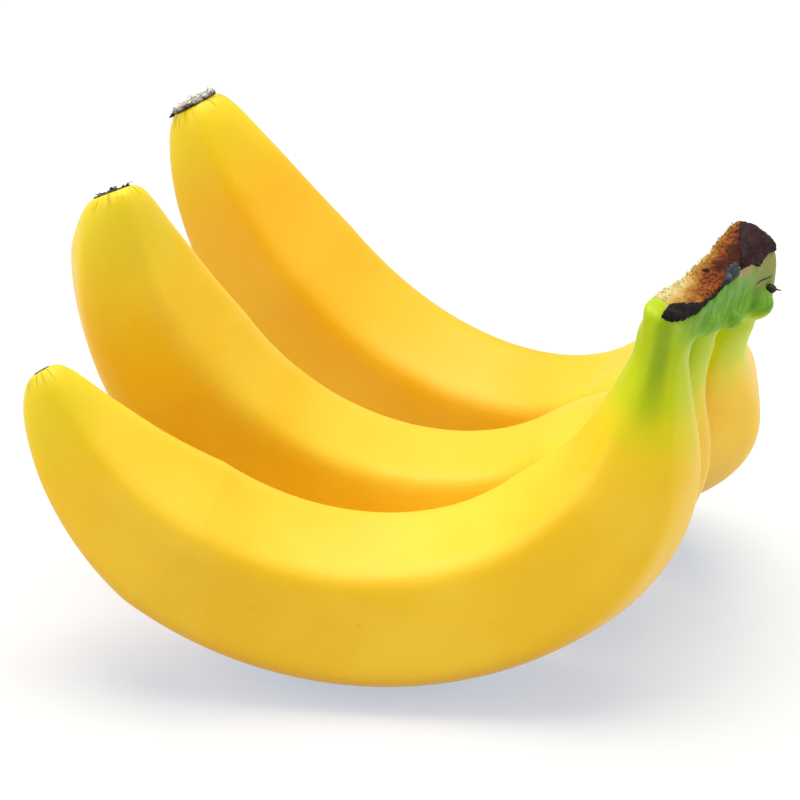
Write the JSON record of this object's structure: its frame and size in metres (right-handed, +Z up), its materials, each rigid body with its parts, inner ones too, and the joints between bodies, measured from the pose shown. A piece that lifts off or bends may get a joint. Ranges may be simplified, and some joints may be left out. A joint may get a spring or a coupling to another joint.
{
  "type": "bunch of bananas",
  "caption": "Small bunch of ripe yellow bananas joined at a cut green crown, lying on their backs with the tips pointing up.",
  "frame": {"origin": "centre of the bunch's outline on the ground plane, with the three flats the bunch rests on at Z = 0", "axes": "+Z up; +X towards the crown, -X towards the blossom ends; +Y from the front fruit to the rear one, which splays away"},
  "size_m": [0.1634, 0.1494, 0.1015],
  "materials": {
    "ripe_peel": "smooth waxy ripe peel, satin",
    "crown_skin": "matte green skin with grey-green and tan patches",
    "cut_pith": "dry fibrous cut face, cream to orange-brown, matte",
    "dried_rind": "dried black-brown rind, matte",
    "dried_flower": "dry brown-grey remains of the flower, matte"
  },
  "bodies": {
    "root": {"banana_front": "ripe_peel", "banana_middle": "ripe_peel", "banana_rear": "ripe_peel", "crown": "crown_skin", "crown_pith": "cut_pith", "torn_rind": "dried_rind", "dried_end": "dried_rind", "dried_stub": "dried_rind", "blossom_end_front": "dried_flower", "blossom_end_middle": "dried_flower", "blossom_end_rear": "dried_flower"}
  },
  "joints": []
}
